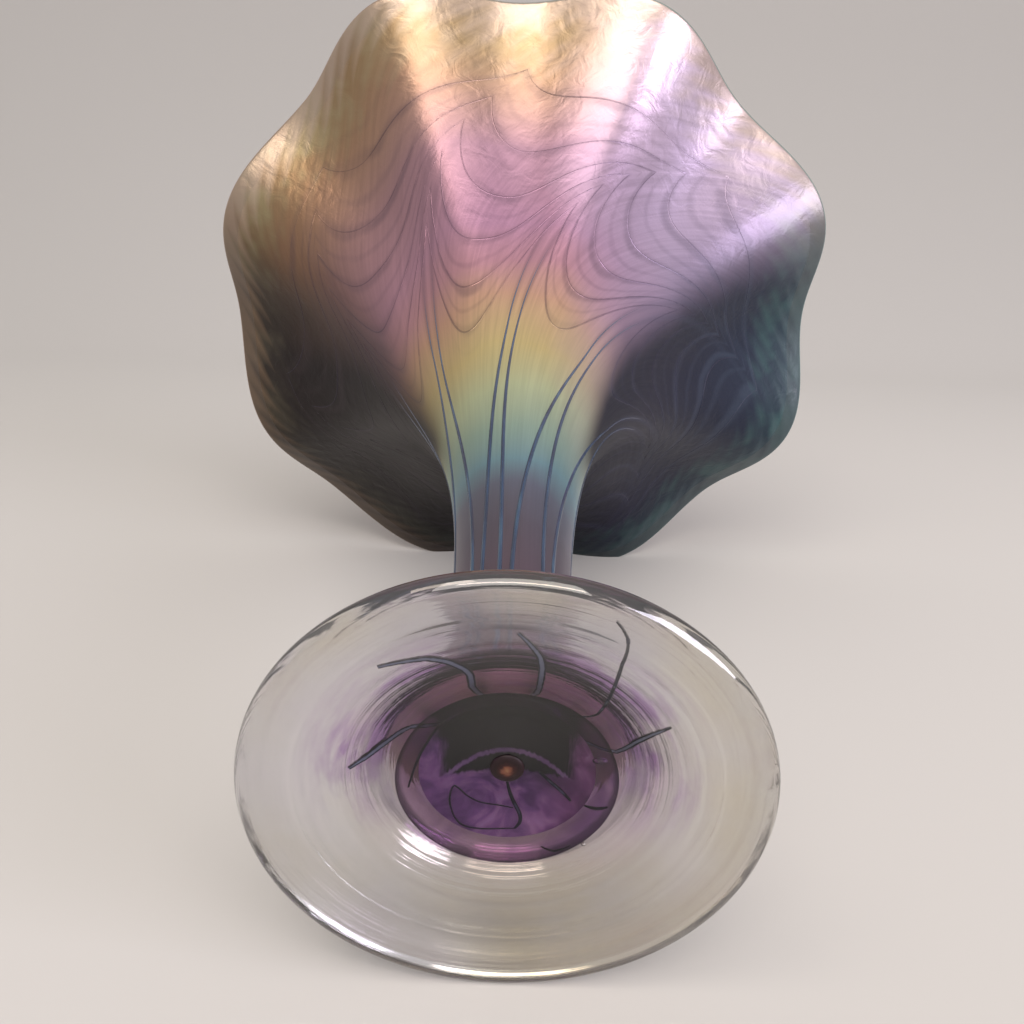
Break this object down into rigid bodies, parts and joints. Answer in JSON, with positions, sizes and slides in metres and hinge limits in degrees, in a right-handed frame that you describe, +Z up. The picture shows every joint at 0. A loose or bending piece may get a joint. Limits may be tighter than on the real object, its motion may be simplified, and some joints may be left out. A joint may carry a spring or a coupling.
{
  "type": "art glass vase",
  "caption": "Hand blown trumpet vase with a ruffled lip, combed glass threads over an iridised amethyst body, a hollow stem and a clear domed foot.",
  "frame": {"origin": "centre of the flat ring that the foot stands on", "axes": "+Z up the vase's axis to the mouth; +Y is the side that the vase lies on in the picture, +X that picture's right"},
  "size_m": [0.215, 0.2161, 0.2534],
  "materials": {
    "clear_glass": "gloss",
    "amethyst_glass": "gloss",
    "pontil_glass": "satin",
    "stem_core_glass": "gloss",
    "stem_casing_glass": "gloss",
    "lining_glass": "gloss",
    "iridised_glass": "satin",
    "lip_glass": "gloss",
    "cobalt_thread": "gloss",
    "festoon_thread": "gloss",
    "foot_thread": "gloss"
  },
  "bodies": {
    "root": {"foot_disc": "clear_glass", "amethyst_pad": "amethyst_glass", "pontil_button": "pontil_glass", "stem_core": "stem_core_glass", "stem_casing": "stem_casing_glass", "bowl_lining": "lining_glass", "bowl_casing": "iridised_glass", "rim_lip": "lip_glass", "stem_trails": "cobalt_thread", "festoon_trails": "festoon_thread", "foot_trails": "foot_thread"}
  },
  "joints": []
}
